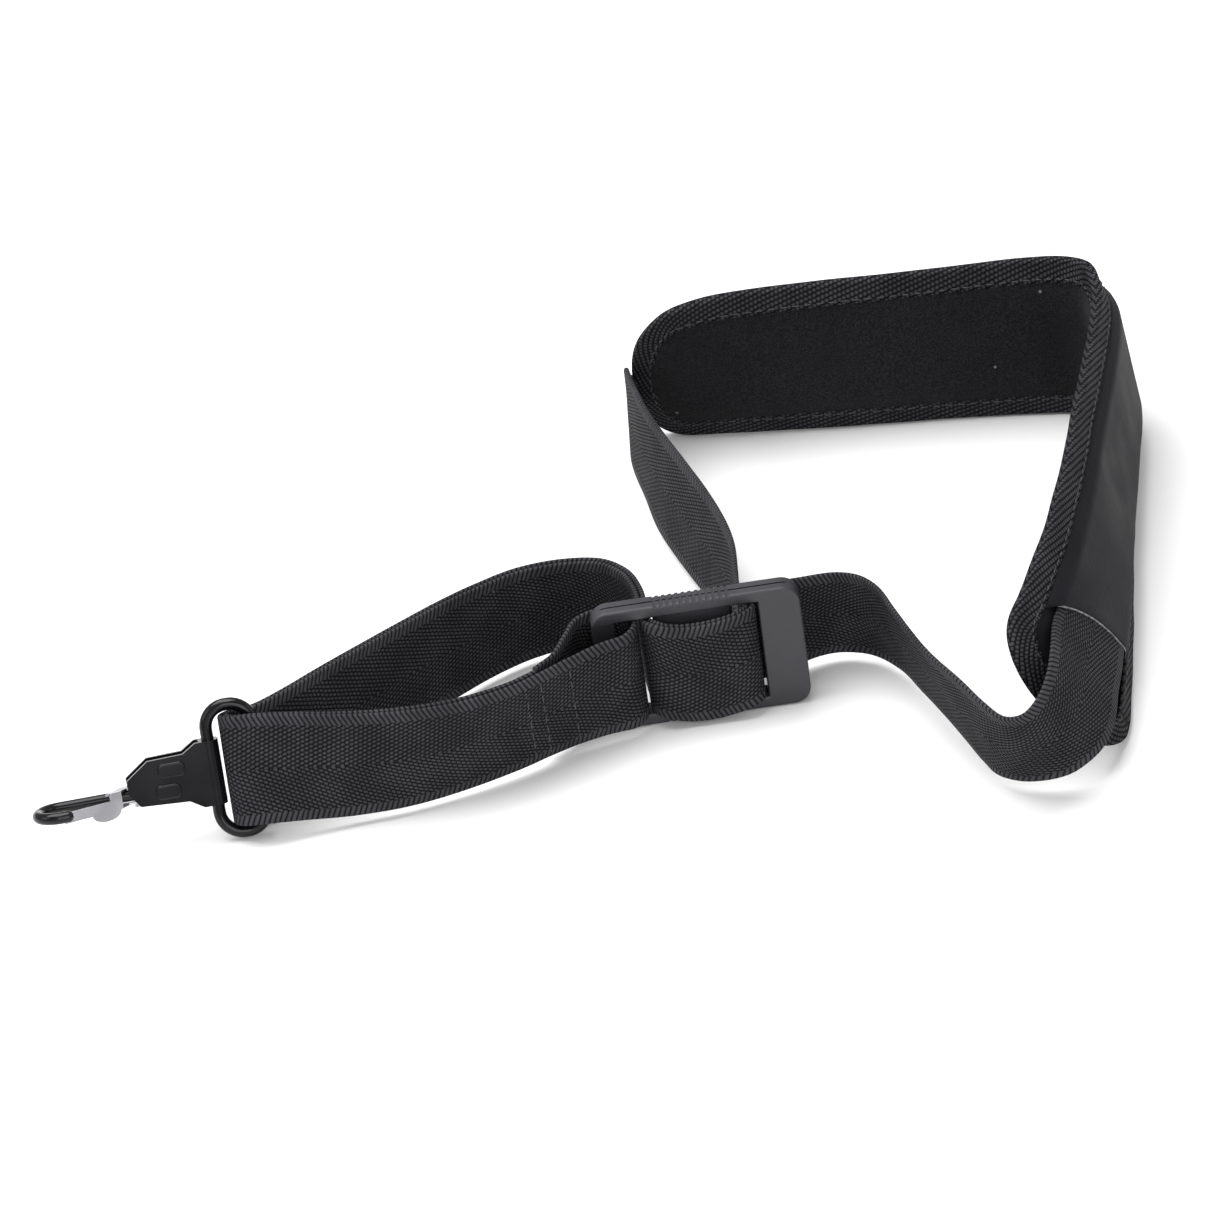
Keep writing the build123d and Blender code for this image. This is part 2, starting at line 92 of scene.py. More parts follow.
FAR_WEB_ROUTE = (
    (30.5, 71.2, 20.6, 0, -12),     # the first stations lie in the pad's pocket
    (22.0, 72.7, 19.4, 0, -16),
    (17.2, 75.4, 16.2, 0, -19),
    (13.8, 77.2, 13.4, 0, -20),
    (12.5, 76.6, 13.2, 0, -14),
    (11.6, 74.4, 13.1, 1, -8),
    (11.3, 70.0, 13.2, 2, -3),
    (11.3, 64.0, 13.8, 4, 0),
    (12.0, 55.5, 14.2, 6, 0),
    (13.5, 45.0, 14.2, 7, 0),
    (15.8, 32.0, 14.1, 10, 0),
    (18.9, 19.0, 14.1, 12, 0),
    (22.2, 6.0, 14.2, 13, 0),
    (25.2, -7.0, 14.6, 10, 0),
    (27.3, -20.0, 15.0, 6, 0),
    (28.0, -32.0, 15.2, 2, 0),
    (27.85, -43.3, 15.2, 0, 0),
)
NEAR_WEB_ROUTE = (
    (29.2, -43.3, 15.2, 0, 0),
    (29.7, -41.9, 15.2, 0, 0),
    (31.6, -41.0, 15.2, 0, 0),
    (36.5, -40.2, 15.0, 0, -3),
    (42.2, -37.6, 14.5, 0, -9),
    (49.0, -36.6, 14.2, 0, -11),
    (55.0, -39.2, 14.2, -5, -10),
    (59.6, -45.7, 14.2, -10, -6),
    (62.8, -56.0, 14.1, -13, -3),
    (65.8, -66.5, 14.1, -14, -2),
    (68.9, -77.0, 14.1, -14, -2),
    (72.4, -87.0, 14.1, -11, -7),
    (75.6, -94.8, 13.9, -9, -15),
    (80.2, -100.0, 14.0, -14, -20),
    (86.2, -101.2, 15.0, -23, -18),
    (91.4, -98.0, 16.8, -29, -14),
    (94.8, -93.0, 18.6, -31, -9),
    (96.9, -86.6, 20.0, -30, -3),
    (98.4, -80.0, 20.7, -29, 0),
    (102.1, -69.2, 21.9, -25, 0),
    (105.6, -57.4, 22.2, -21, 0),
)
LOWER_ROUTE = (
    (7.35, -41.5, 15.2, 0, 0),
    (6.6, -33.5, 14.8, 0, -1),
    (4.4, -25.0, 14.5, 0, -3),
    (-1.2, -18.3, 14.4, 2, -5),
    (-10.0, -15.6, 14.3, 2, -6),
    (-19.5, -17.0, 14.3, 0, -4),
    (-28.8, -21.3, 14.2, 0, -2),
    (-38.0, -27.2, 14.1, 0, 2),
    (-47.5, -34.3, 14.0, 0, 6),
    (-57.0, -41.8, 13.9, 0, 10),
    (-66.0, -49.0, 13.8, 0, 14),
    (-74.0, -55.2, 13.6, 0, 17),
    (-80.5, -59.1, 13.3, 0, 20),
    (-86.0, -61.5, 14.1, 0, 20),
    (-87.5, -64.8, 15.3, 0, 20),
    (-85.4, -67.8, 16.4, 0, 20),
    (-80.0, -68.8, 16.7, 0, 19),
    (-72.5, -68.6, 15.8, 0, 15),
    (-62.0, -69.0, 14.7, 0, 8),
    (-49.5, -69.5, 14.4, 0, 0),
    (-36.6, -67.9, 14.4, 0, -7),
    (-24.5, -64.2, 14.6, 0, -10),
)
TAIL_ROUTE = (
    (-24.0, -64.0, 14.6, 0, -10),
    (-18.0, -61.0, 14.7, 0, -10),
    (-11.3, -57.6, 14.8, 0, -8),
    (-4.0, -54.8, 15.0, 0, -4),
    (1.8, -53.0, 14.9, 0, -1),
    (4.1, -49.8, 15.1, 0, 0),
    (4.1, -45.6, 15.2, 0, 0),
    (1.8, -42.6, 15.2, 0, 0),
    (-3.6, -41.6, 15.2, 0, 0),
    (-8.2, -43.6, 15.1, 0, -1),
    (-11.0, -48.4, 15.0, 0, -4),
    (-14.2, -54.2, 14.8, 0, -8),
    (-18.6, -58.4, 14.7, 0, -10),
)
BAR_ROUTE = (
    (29.1, -43.8, 15.2, 0, 0),
    (29.8, -46.2, 15.2, 0, 0),
    (30.3, -49.2, 15.2, 0, 0),
    (27.9, -51.7, 15.1, 0, 0),
    (21.5, -51.9, 13.7, 0, 0),
    (14.0, -51.8, 13.6, 0, 0),
    (8.9, -51.6, 15.1, 0, 0),
    (6.3, -48.6, 15.1, 0, 0),
    (6.0, -45.0, 15.2, 0, 0),
    (6.0, -41.8, 15.2, 0, 0),
)
SEAM_END = (                # the back layer runs on under the seam
    (-18.0, -61.0, 14.7, 0, -10),
)
LAYER_PITCH = 1.35


# ---- routes --------------------------------------------------------------------------

def smooth_line(points, step):
    """Centripetal Catmull-Rom curve through rows of numbers, evenly spaced by its first three."""
    points = np.array(points, float)
    first = 2 * points[0] - points[1]
    last = 2 * points[-1] - points[-2]
    line = np.vstack([first, points, last])
    knots = np.zeros(len(line))
    for number in range(1, len(line)):
        gap = np.linalg.norm(line[number, :3] - line[number - 1, :3])
        knots[number] = knots[number - 1] + math.sqrt(gap)
    dense = []
    for number in range(1, len(line) - 2):
        a, b, c, d = line[number - 1:number + 3]
        ta, tb, tc, td = knots[number - 1:number + 3]
        for t in np.linspace(tb, tc, 40, endpoint=False):
            ab = (tb - t) / (tb - ta) * a + (t - ta) / (tb - ta) * b
            bc = (tc - t) / (tc - tb) * b + (t - tb) / (tc - tb) * c
            cd = (td - t) / (td - tc) * c + (t - tc) / (td - tc) * d
            left = (tc - t) / (tc - ta) * ab + (t - ta) / (tc - ta) * bc
            right = (td - t) / (td - tb) * bc + (t - tb) / (td - tb) * cd
            dense.append((tc - t) / (tc - tb) * left + (t - tb) / (tc - tb) * right)
    dense.append(points[-1])
    dense = np.array(dense)
    run = np.concatenate([[0], np.cumsum(np.linalg.norm(np.diff(dense[:, :3], axis=0), axis=1))])
    even = np.linspace(0, run[-1], max(int(run[-1] / step), 2) + 1)
    return np.stack([np.interp(even, run, dense[:, column]) for column in range(dense.shape[1])], 1)


def ease(value):
    value = np.clip(value, 0, 1)
    return value * value * (3 - 2 * value)


def unit(rows):
    return rows / np.linalg.norm(rows, axis=1)[:, None]


class Route:
    """A smooth line with the way that a strip leans along it; places are in millimetres."""

    def __init__(self, stations, step=0.8):
        rows = [
            (x + MIDDLE_X, y + MIDDLE_Y, z, math.tan(math.radians(lean_x)), math.tan(math.radians(lean_y)))
            for x, y, z, lean_x, lean_y in stations
        ]
        line = smooth_line(rows, step)
        self.middle = line[:, :3]
        self.along = unit(np.gradient(self.middle, axis=0))
        self.up = unit(np.column_stack([line[:, 3], line[:, 4], np.ones(len(line))]))
        self.left = unit(np.cross(self.up, self.along))
        self.run = np.linspace(0, np.linalg.norm(np.diff(self.middle, axis=0), axis=1).sum(), len(line))
        self.length = self.run[-1]

    def at(self, along, across, through):
        """Points at those distances along, across (up) and through (left of the run)."""
        along, across, through = np.broadcast_arrays(along, across, through)
        flat = along.ravel().astype(float)
        inside = np.clip(flat, 0, self.length)

        def read(rows):
            return np.stack([np.interp(inside, self.run, rows[:, axis]) for axis in range(3)], 1)

        place = read(self.middle) + read(self.along) * (flat - inside)[:, None]
        place += read(self.up) * across.ravel()[:, None] + read(self.left) * through.ravel()[:, None]
        return place.reshape(along.shape + (3,))


# ---- meshes --------------------------------------------------------------------------

def new_piece(name, corners, faces, lay=None, finish=None, smooth=True):
    """A mesh object from corners in millimetres, with its woven coordinates as an attribute."""
    mesh = bpy.data.meshes.new(name)
    mesh.from_pydata([tuple(corner) for corner in np.asarray(corners) * MM], [], faces)
    mesh.validate()
    if lay is not None:
        store = mesh.attributes.new(LAY, "FLOAT_VECTOR", "POINT")
        store.data.foreach_set("vector", np.asarray(lay, np.float32).ravel())
    mesh.shade_smooth() if smooth else mesh.shade_flat()
    piece = bpy.data.objects.new(name, mesh)
    bpy.context.scene.collection.objects.link(piece)
    if finish is not None:
        mesh.materials.append(finish)
    return piece


def grid_faces(rows, columns, wrap, start=0):
    """Quads over a grid of corners; wrap joins its last column to its first."""
    faces = []
    last = columns if wrap else columns - 1
    for row in range(rows - 1):
        for column in range(last):
            after = (column + 1) % columns
            near, far = start + row * columns, start + (row + 1) * columns
            faces.append((near + column, near + after, far + after, far + column))
    return faces


def web_outline(width, thick, columns=14):
    """Cross-section of a web as (across, through) rows: two flat faces and rounded selvages."""
    half, radius = width / 2, thick / 2
    flat = np.linspace(-half + radius, half - radius, columns)
    turn = np.radians(np.linspace(0, 180, 7)[1:-1])
    upper = np.column_stack([flat, np.full(columns, radius)])
    over = np.column_stack([half - radius + radius * np.sin(turn), radius * np.cos(turn)])
    lower = np.column_stack([flat[::-1], np.full(columns, -radius)])
    under = np.column_stack([-half + radius - radius * np.sin(turn), -radius * np.cos(turn)])
    return np.vstack([upper, over, lower, under])


def make_web(name, route, finish, side=0.0, wobble=0.12, seed=0.0, gather=0.0, pinch=0.0):
    """One run of webbing lying along a route, with the small unevenness that a used web has.

    gather is how much of its width the web loses where it is drawn together, and pinch is
    how far along the run that is.
    """
    settings = bpy.context.scene.strap_webbing
    outline = web_outline(settings.width, settings.thickness)
    runs = route.run[:, None]
    across = np.broadcast_to(outline[:, 0], (len(route.run), len(outline)))
    ends = np.minimum(runs, route.length - runs)
    calm = np.clip(ends / 6, 0, 1)
    ripple = wobble * calm * np.sin(runs / 7.3 + seed) * np.cos(across / 6.1 + seed * 2)
    through = outline[:, 1] + side + ripple
    woven_across = across
    across = across * (1 - gather * (1 - ease(np.abs(runs - pinch) / 14)))
    corners = route.at(runs + np.zeros_like(across), across, through)
    lay = np.stack([runs + np.zeros_like(across), woven_across, through - side], 2)
    rows, columns = across.shape
    faces = grid_faces(rows, columns, wrap=True)
    faces.append(tuple(range(columns))[::-1])
    faces.append(tuple(range((rows - 1) * columns, rows * columns)))
    return new_piece(name, corners.reshape(-1, 3), faces, lay.reshape(-1, 3), finish)


def make_stitches(name, places, finish, thick=0.42):
    """Short rounded threads, one for each (start, end) pair of points in millimetres."""
    corners, faces = [], []
    sides, rings = 6, ((0.0, 0.25), (0.12, 0.8), (0.5, 1.0), (0.88, 0.8), (1.0, 0.25))
    for start, end, out in places:
        start, end, out = (np.asarray(value, float) for value in (start, end, out))
        run = end - start
        side = np.cross(run, out)
        side /= np.linalg.norm(side)
        first = len(corners)
        for share, swell in rings:
            for step in range(sides):
                turn = 2 * math.pi * step / sides
                reach = (side * math.cos(turn) + out * math.sin(turn)) * swell * thick / 2
                corners.append(start + run * share + reach)
        faces += grid_faces(len(rings), sides, wrap=True, start=first)
        faces.append(tuple(first + step for step in range(sides))[::-1])
        faces.append(tuple(first + (len(rings) - 1) * sides + step for step in range(sides)))
    return new_piece(name, corners, faces, finish=finish)


# ---- shader helpers --------------------------------------------------------------------

class Graph:
    """Short calls for adding and wiring shader nodes in one tree."""

    def __init__(self, tree):
        self.tree = tree

    def add(self, kind, **values):
        node = self.tree.nodes.new(kind)
        for name, value in values.items():
            setattr(node, name, value)
        return node

    def put(self, socket, value):
        if isinstance(value, bpy.types.NodeSocket):
            self.tree.links.new(value, socket)
        else:
            socket.default_value = value

    def math(self, operation, *values):
        node = self.add("ShaderNodeMath", operation=operation)
        for socket, value in zip(node.inputs, values):
            self.put(socket, value)
        return node.outputs[0]

    def ramp(self, value, low, high, to_low=0.0, to_high=1.0):
        node = self.add("ShaderNodeMapRange", interpolation_type="SMOOTHSTEP")
        for socket, item in zip(node.inputs, (value, low, high, to_low, to_high)):
            self.put(socket, item)
        return node.outputs[0]

    def blend(self, share, first, second):
        node = self.add("ShaderNodeMix", data_type="RGBA")
        self.put(node.inputs[0], share)
        self.put(node.inputs[6], first)
        self.put(node.inputs[7], second)
        return node.outputs[2]

    def noise(self, place, scale, detail=2.0, rough=0.5):
        node = self.add("ShaderNodeTexNoise")
        self.put(node.inputs["Vector"], place)
        node.inputs["Scale"].default_value = scale
        node.inputs["Detail"].default_value = detail
        node.inputs["Roughness"].default_value = rough
        return node.outputs["Fac"]


def new_group(name, inputs, outputs):
    """An empty shader group with float or colour sockets; returns it with its graph and ends."""
    group = bpy.data.node_groups.new(name, "ShaderNodeTree")
    for label, kind, value in inputs:
        socket = group.interface.new_socket(name=label, in_out="INPUT", socket_type=kind)
        if value is not None:
            socket.default_value = value
    for label, kind in outputs:
        group.interface.new_socket(name=label, in_out="OUTPUT", socket_type=kind)
    graph = Graph(group)
    return group, graph, graph.add("NodeGroupInput"), graph.add("NodeGroupOutput")


FLOAT = "NodeSocketFloat"
VECTOR = "NodeSocketVector"


def herringbone_group():
    """Slanted ribs of short threads that turn back at the middle, with corded selvages; its Shade is painted
    shading, light on the raised threads and dark in the hollows.
    """
    found = bpy.data.node_groups.get("Herringbone weave")
    if found:
        return found
    group, g, into, out = new_group(
        "Herringbone weave",
        (("Lay", VECTOR, None), ("Rib pitch", FLOAT, 0.9), ("Thread length", FLOAT, 1.2),
         ("Slant sine", FLOAT, 0.4), ("Slant cosine", FLOAT, 0.9), ("Half width", FLOAT, 12.3),
         ("Selvage", FLOAT, 2.4), ("Selvage pitch", FLOAT, 1.1)),
        (("Height", FLOAT), ("Shade", FLOAT)),
    )
    split = g.add("ShaderNodeSeparateXYZ")
    g.put(split.inputs[0], into.outputs["Lay"])
    drift = g.math("MULTIPLY", g.math("SUBTRACT", g.noise(into.outputs["Lay"], 0.35), 0.5), 0.5)
    along = g.math("ADD", split.outputs[0], drift)
    fold = g.math("ABSOLUTE", split.outputs[1])
    sine, cosine = into.outputs["Slant sine"], into.outputs["Slant cosine"]
    rib_place = g.math("SUBTRACT", g.math("MULTIPLY", fold, cosine), g.math("MULTIPLY", along, sine))
    rib = g.math("DIVIDE", g.math("ADD", rib_place, drift), into.outputs["Rib pitch"])
    thread_place = g.math("ADD", g.math("MULTIPLY", along, cosine), g.math("MULTIPLY", fold, sine))
    thread = g.math("DIVIDE", thread_place, into.outputs["Thread length"])
    thread = g.math("ADD", thread, g.math("MULTIPLY", g.math("FLOOR", rib), 0.5))

    def arch(value, sharpness):
        part = g.math("FRACT", value)
        hump = g.math("MULTIPLY", g.math("MULTIPLY", part, g.math("SUBTRACT", 1.0, part)), 4.0)
        return g.math("POWER", hump, sharpness)

    body = g.math("MULTIPLY", arch(rib, 0.7), arch(thread, 0.45))
    cord_place = g.math("ADD", along, g.math("MULTIPLY", fold, 0.45))
    cords = arch(g.math("DIVIDE", cord_place, into.outputs["Selvage pitch"]), 0.6)
    inner = g.math("SUBTRACT", into.outputs["Half width"], into.outputs["Selvage"])
    edge = g.ramp(fold, inner, g.math("ADD", inner, 0.25))
    height = g.add("ShaderNodeMix")
    g.put(height.inputs[0], edge)
    g.put(height.inputs[2], body)
    g.put(height.inputs[3], cords)
    worn = g.ramp(g.noise(into.outputs["Lay"], 0.12, 3.0), 0.35, 0.7, 0.8, 1.15)
    g.put(out.inputs["Height"], height.outputs[0])
    # painted shading: raised threads are painted lighter as a highlight and hollows darker as shade, varied
    # at random in patches
    painted_shading = g.math("POWER", height.outputs[0], 1.8)
    g.put(out.inputs["Shade"], g.math("MULTIPLY", painted_shading, worn))
    return group


def grain_group():
    """Fine irregular surface for mouldings, leatherette and enamel, with a softer second scale."""
    found = bpy.data.node_groups.get("Surface grain")
    if found:
        return found
    group, g, into, out = new_group(
        "Surface grain",
        (("Place", VECTOR, None), ("Fine", FLOAT, 1.0), ("Broad", FLOAT, 0.5)),
        (("Height", FLOAT), ("Patch", FLOAT)),
    )
    fine = g.add("ShaderNodeTexVoronoi", feature="SMOOTH_F1")
    g.put(fine.inputs["Vector"], into.outputs["Place"])
    g.put(fine.inputs["Scale"], into.outputs["Fine"])
    broad = g.add("ShaderNodeTexNoise")
    g.put(broad.inputs["Vector"], into.outputs["Place"])
    g.put(broad.inputs["Scale"], into.outputs["Broad"])
    g.put(out.inputs["Height"], fine.outputs["Distance"])
    g.put(out.inputs["Patch"], broad.outputs["Fac"])
    return group


def lint_group():
    """Sparse specks of lint and dust that catch on dark cloth."""
    found = bpy.data.node_groups.get("Lint specks")
    if found:
        return found
    group, g, into, out = new_group(
        "Lint specks", (("Place", VECTOR, None), ("Spacing", FLOAT, 0.16)), (("Mask", FLOAT),),
    )
    cells = g.add("ShaderNodeTexVoronoi", feature="F1")
    g.put(cells.inputs["Vector"], into.outputs["Place"])
    g.put(cells.inputs["Scale"], into.outputs["Spacing"])
    chosen = g.add("ShaderNodeSeparateColor")
    g.put(chosen.inputs[0], cells.outputs["Color"])
    speck = g.ramp(cells.outputs["Distance"], 0.05, 0.025)
    g.put(out.inputs["Mask"], g.math("MULTIPLY", speck, g.ramp(chosen.outputs[0], 0.7, 0.75)))
    return group


def new_finish(name):
    """A material with an empty tree but for its shader and output."""
    material = bpy.data.materials.new(name)
    material.use_nodes = True
    tree = material.node_tree
    shader = tree.nodes["Principled BSDF"]
    return material, Graph(tree), shader


def use(g, group, **values):
    node = g.add("ShaderNodeGroup")
    node.node_tree = group
    for label, value in values.items():
        g.put(node.inputs[label.replace("_", " ")], value)
    return node


def lay_of(g):
    return g.add("ShaderNodeAttribute", attribute_name=LAY).outputs["Vector"]


def place_of(g):
    """Place on the object in millimetres, for pieces that carry no woven coordinates."""
    coordinates = g.add("ShaderNodeTexCoord")
    scale = g.add("ShaderNodeVectorMath", operation="SCALE")
    g.put(scale.inputs[0], coordinates.outputs["Object"])
    scale.inputs["Scale"].default_value = 1 / MM
    return scale.outputs[0]


def bump(g, shader, height, depth, strength=1.0):
    node = g.add("ShaderNodeBump")
    node.inputs["Strength"].default_value = strength
    node.inputs["Distance"].default_value = depth * MM
    g.put(node.inputs["Height"], height)
    g.put(shader.inputs["Normal"], node.outputs[0])


def woven_finish(name, dark, light, pitch, thread, slant, half, selvage, selvage_pitch, depth):
    """Herringbone cloth with a painted highlight on its raised threads and painted shade in the hollows
    between them.
    """
    material, g, shader = new_finish(name)
    lay = lay_of(g)
    angle = math.radians(slant)
    weave = use(
        g, herringbone_group(), Lay=lay, Rib_pitch=pitch, Thread_length=thread,
        Slant_sine=math.sin(angle), Slant_cosine=math.cos(angle), Half_width=half,
        Selvage=selvage, Selvage_pitch=selvage_pitch,
    )
    # painted shade in the hollows and a painted highlight on the thread tops, mixed by the weave's height
    colour = g.blend(weave.outputs["Shade"], (*dark, 1), (*light, 1))
    lint = use(g, lint_group(), Place=lay, Spacing=0.11)
    g.put(shader.inputs["Base Color"], g.blend(lint.outputs["Mask"], colour, (0.12, 0.12, 0.12, 1)))
    g.put(shader.inputs["Roughness"], g.ramp(weave.outputs["Height"], 0, 1, 0.85, 0.55))
    shader.inputs["Specular IOR Level"].default_value = 0.04
    bump(g, shader, weave.outputs["Height"], depth)
    return material


def fleece_finish():
    settings = bpy.context.scene.strap_pad
    material, g, shader = new_finish("napped_lining")
    lay = lay_of(g)
    nap = g.noise(lay, 2.6, 3.0, 0.7)
    patch = g.noise(lay, 0.09, 2.0)
    shade = g.math("MULTIPLY", g.ramp(nap, 0.38, 0.66), g.ramp(patch, 0.3, 0.7, 0.75, 1.0))
    dark = tuple(settings.lining_colour)
    colour = g.blend(shade, (*(0.3 * part for part in dark), 1), (*(2.2 * part for part in dark), 1))
    lint = use(g, lint_group(), Place=lay, Spacing=0.09)
    g.put(shader.inputs["Base Color"], g.blend(lint.outputs["Mask"], colour, (0.16, 0.16, 0.16, 1)))
    shader.inputs["Roughness"].default_value = 0.95
    shader.inputs["Specular IOR Level"].default_value = 0.1
    shader.inputs["Sheen Weight"].default_value = 0.03
    shader.inputs["Sheen Roughness"].default_value = 0.6
    bump(g, shader, nap, 0.25)
    return material


def leatherette_finish():
    settings = bpy.context.scene.strap_pad
    material, g, shader = new_finish("satin_leatherette")
    place = place_of(g)
    grain = use(g, grain_group(), Place=place, Fine=1.7, Broad=0.06)
    base = tuple(settings.cover_colour)
    worn = g.ramp(grain.outputs["Patch"], 0.35, 0.65)
    g.put(shader.inputs["Base Color"], g.blend(worn, (*base, 1), (*(1.25 * part for part in base), 1)))
    g.put(shader.inputs["Roughness"], g.ramp(grain.outputs["Patch"], 0.3, 0.7, 0.55, 0.65))
    shader.inputs["Specular IOR Level"].default_value = 0.07
    bump(g, shader, grain.outputs["Height"], 0.09, 0.7)
    return material


def moulded_finish():
    settings = bpy.context.scene.strap_hardware
    material, g, shader = new_finish("matt_moulding")
    place = place_of(g)
    grain = use(g, grain_group(), Place=place, Fine=4.5, Broad=0.12)
    base = tuple(settings.slider_colour)
    patch = g.ramp(grain.outputs["Patch"], 0.35, 0.65)
    colour = g.blend(patch, (*(0.9 * part for part in base), 1), (*(1.1 * part for part in base), 1))
    g.put(shader.inputs["Base Color"], colour)
    g.put(shader.inputs["Roughness"], g.ramp(grain.outputs["Patch"], 0.3, 0.7, 0.42, 0.52))
    bump(g, shader, grain.outputs["Height"], 0.03, 0.5)
    return material


def enamel_finish():
    settings = bpy.context.scene.strap_hardware
    material, g, shader = new_finish("gloss_enamel")
    place = place_of(g)
    grain = use(g, grain_group(), Place=place, Fine=0.7, Broad=0.07)
    base = tuple(settings.enamel_colour)
    patch = g.ramp(grain.outputs["Patch"], 0.3, 0.7)
    g.put(shader.inputs["Base Color"], g.blend(patch, (*base, 1), (*(1.3 * part for part in base), 1)))
    g.put(shader.inputs["Roughness"], g.ramp(grain.outputs["Patch"], 0.3, 0.7, 0.1, 0.18))
    shader.inputs["Specular IOR Level"].default_value = 0.2
    shader.inputs["Coat Weight"].default_value = 0.1
    shader.inputs["Coat Roughness"].default_value = 0.05
    bump(g, shader, grain.outputs["Patch"], 0.02, 0.4)
    return material


def steel_finish():
    material, g, shader = new_finish("bright_steel")
    place = place_of(g)
    grain = use(g, grain_group(), Place=place, Fine=3.0, Broad=0.15)
    colour = g.blend(grain.outputs["Patch"], (0.36, 0.36, 0.38, 1), (0.5, 0.5, 0.52, 1))
    g.put(shader.inputs["Base Color"], colour)
    g.put(shader.inputs["Roughness"], g.ramp(grain.outputs["Patch"], 0.3, 0.7, 0.16, 0.3))
    shader.inputs["Metallic"].default_value = 1.0
    bump(g, shader, grain.outputs["Height"], 0.01, 0.4)
    return material


def thread_finish():
    material, g, shader = new_finish("dark_thread")
    twist = g.noise(place_of(g), 3.5)
    colour = g.blend(g.ramp(twist, 0.35, 0.65), (0.008, 0.008, 0.009, 1), (0.055, 0.055, 0.06, 1))
    g.put(shader.inputs["Base Color"], colour)
    shader.inputs["Roughness"].default_value = 0.6
    bump(g, shader, twist, 0.06)
    return material


def finish_called(name, make):
    return bpy.data.materials.get(name) or make()


def web_finish():
    settings = bpy.context.scene.strap_webbing
    return finish_called("woven_webbing", lambda: woven_finish(
        "woven_webbing", tuple(settings.shaded_hollow_colour), tuple(settings.highlit_thread_colour), 0.85, 1.15, 24.0,
        settings.width / 2, 2.6, 1.15, 0.28,
    ))


def tape_finish():
    settings = bpy.context.scene.strap_webbing
    return finish_called("edge_tape", lambda: woven_finish(
        "edge_tape", tuple(settings.shaded_hollow_colour), tuple(settings.highlit_thread_colour), 1.25, 1.1, 20.0,
        7.6, 0.7, 1.1, 0.3,
    ))


# ---- settings ------------------------------------------------------------------------------

class StrapWebbing(bpy.types.PropertyGroup):
    """Sizes and colours of the woven webbing"""
    width: FloatProperty(
        name="Width", description="Width of the webbing in millimetres",
        default=24.6, min=10, max=60,
    )
    thickness: FloatProperty(
        name="Thickness", description="Thickness of one layer in millimetres",
        default=1.1, min=0.4, max=3,
    )
    # painted shade: the colour given to the hollows between the threads
    shaded_hollow_colour: FloatVectorProperty(
        name="Hollows", description="Colour between the threads", subtype="COLOR",
        default=(0.0015, 0.0015, 0.002), min=0, max=1)
    # the threads' own dark colour with a painted highlight on their tops
    highlit_thread_colour: FloatVectorProperty(
        name="Threads", description="Colour on top of the threads", subtype="COLOR",
        default=(0.052, 0.051, 0.056), min=0, max=1)


class StrapPad(bpy.types.PropertyGroup):
    """Sizes and colours of the padded neck piece"""
    width: FloatProperty(
        name="Width", description="Width over the edge tape in millimetres",
        default=42.0, min=20, max=80,
    )
    end_length: FloatProperty(
        name="End length", description="Length of each rounded end in millimetres",
        default=14.0, min=5, max=40,
    )
    tape_reach: FloatProperty(
        name="Tape", description="How far the edge tape comes in, in millimetres",
        default=5.6, min=2, max=12,
    )
    lining_colour: FloatVectorProperty(
        name="Lining", description="Colour of the napped inner face", subtype="COLOR",
        default=(0.0085, 0.0085, 0.01), min=0, max=1)
    cover_colour: FloatVectorProperty(
        name="Cover", description="Colour of the leatherette outer face", subtype="COLOR",
        default=(0.008, 0.008, 0.0098), min=0, max=1)


class StrapHardware(bpy.types.PropertyGroup):
    """Colours of the slider, ring and hook"""
    slider_colour: FloatVectorProperty(
        name="Slider", description="Colour of the moulded slider", subtype="COLOR",
        default=(0.023, 0.0225, 0.0275), min=0, max=1)
    enamel_colour: FloatVectorProperty(
        name="Enamel", description="Colour of the enamelled wire", subtype="COLOR",
        default=(0.004, 0.004, 0.005), min=0, max=1)


class StrapStudio(bpy.types.PropertyGroup):
    """Camera, lights and floor"""
    distance: FloatProperty(
        name="Distance", description="From the camera to the strap",
        default=1.1, min=0.3, max=5, subtype="DISTANCE", unit="LENGTH",
    )
    elevation: FloatProperty(
        name="Elevation", description="Camera height above the horizon",
        default=math.radians(32), subtype="ANGLE", unit="ROTATION",
    )
    roll: FloatProperty(
        name="Roll", description="Turn of the camera about its view",
        default=math.radians(8.5), subtype="ANGLE", unit="ROTATION",
    )
    lens: FloatProperty(
        name="Lens", description="Focal length in millimetres",
        default=140.5, min=20, max=300,
    )
    key_power: FloatProperty(
        name="Key light", description="Power of the large overhead light in watts",
        default=16.0, min=0, max=500,
    )


# ---- pieces ---------------------------------------------------------------------------------

